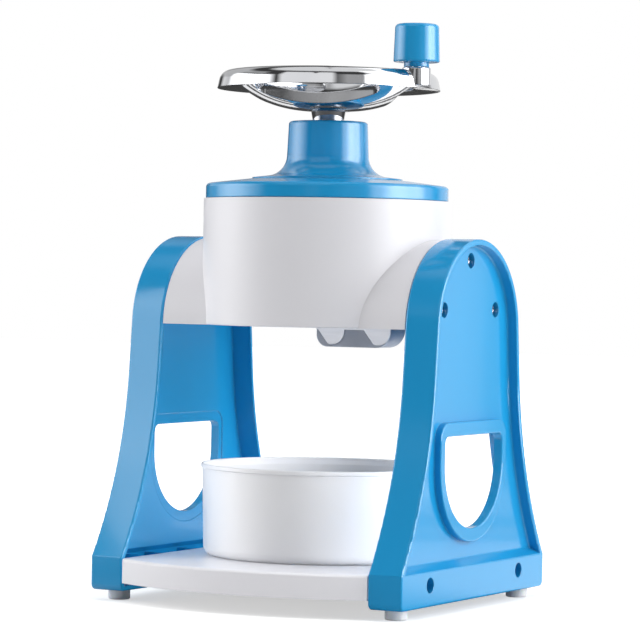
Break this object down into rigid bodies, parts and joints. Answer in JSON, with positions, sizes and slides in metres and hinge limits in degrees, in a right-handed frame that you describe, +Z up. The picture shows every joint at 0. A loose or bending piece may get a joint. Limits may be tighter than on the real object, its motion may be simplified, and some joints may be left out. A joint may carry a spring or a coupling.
{
  "type": "hand cranked ice shaver",
  "caption": "Ice shaver with a dished handwheel on a tall necked lid, a round hopper held between flared side panels, and a bowl on a bowed tray below.",
  "frame": {"origin": "on the crank's axis, on the surface that the feet stand on", "axes": "+Z up along the crank's axis, +X to the right-hand side panel, front at -Y"},
  "size_m": [0.2286, 0.254, 0.3797],
  "materials": {
    "blue_plastic": "glossy",
    "white_plastic": "glossy",
    "frosted_plastic": "frosted, translucent",
    "wheel_chrome": "polished",
    "stainless_sheet": "fine brushed",
    "grey_casting": "cast, satin",
    "shaft_steel": "satin",
    "screw_steel": "bright zinc",
    "bearing_nylon": "matt",
    "foot_rubber": "pale, matt"
  },
  "bodies": {
    "frame": {"base_tray": "white_plastic", "left_side_panel": "blue_plastic", "right_side_panel": "blue_plastic", "hopper_shell": "white_plastic", "blade_disc": "stainless_sheet", "blade_disc_screws": "screw_steel", "blade_carrier": "grey_casting", "carrier_screws": "screw_steel", "shaving_blade": "stainless_sheet", "blade_screws": "screw_steel", "snow_deflector": "stainless_sheet", "deflector_screws": "screw_steel", "hopper_screws": "screw_steel", "tray_screws": "screw_steel", "front_left_foot": "foot_rubber", "front_right_foot": "foot_rubber", "rear_left_foot": "foot_rubber", "rear_right_foot": "foot_rubber"},
    "bowl": {"ice_bowl": "frosted_plastic"},
    "cover": {"lid": "blue_plastic", "neck_bushing": "bearing_nylon"},
    "crank": {"drive_shaft": "shaft_steel", "thrust_washer": "screw_steel", "handwheel": "wheel_chrome", "wheel_nut": "screw_steel", "hub_cap": "wheel_chrome", "knob_axle": "shaft_steel", "presser_spring": "shaft_steel", "end_washer": "screw_steel", "end_screw": "screw_steel"},
    "knob": {"crank_knob": "blue_plastic", "knob_cap": "blue_plastic"},
    "presser": {"ice_presser": "white_plastic", "presser_pins": "shaft_steel"}
  },
  "joints": [
    {"name": "bowl_slide", "type": "slide", "parent": "frame", "child": "bowl", "axis": [0, -1, 0], "range_m": [0, 0.15]},
    {"name": "lid_lift", "type": "slide", "parent": "frame", "child": "cover", "axis": [0, 0, 1], "range_m": [0, 0.1]},
    {"name": "wheel_spin", "type": "hinge", "parent": "cover", "child": "crank", "pos_m": [0, 0, 0.3], "axis": [0, 0, 1], "continuous": true},
    {"name": "presser_slide", "type": "slide", "parent": "crank", "child": "presser", "axis": [0, 0, 1], "range_m": [0, 0.06], "stiffness_N_per_m": 150, "springref_m": -0.04, "deforming": ["presser_spring"]},
    {"name": "knob_spin", "type": "hinge", "parent": "crank", "child": "knob", "pos_m": [0.06888, -0.0076, 0.36], "axis": [0, 0, 1], "continuous": true}
  ]
}
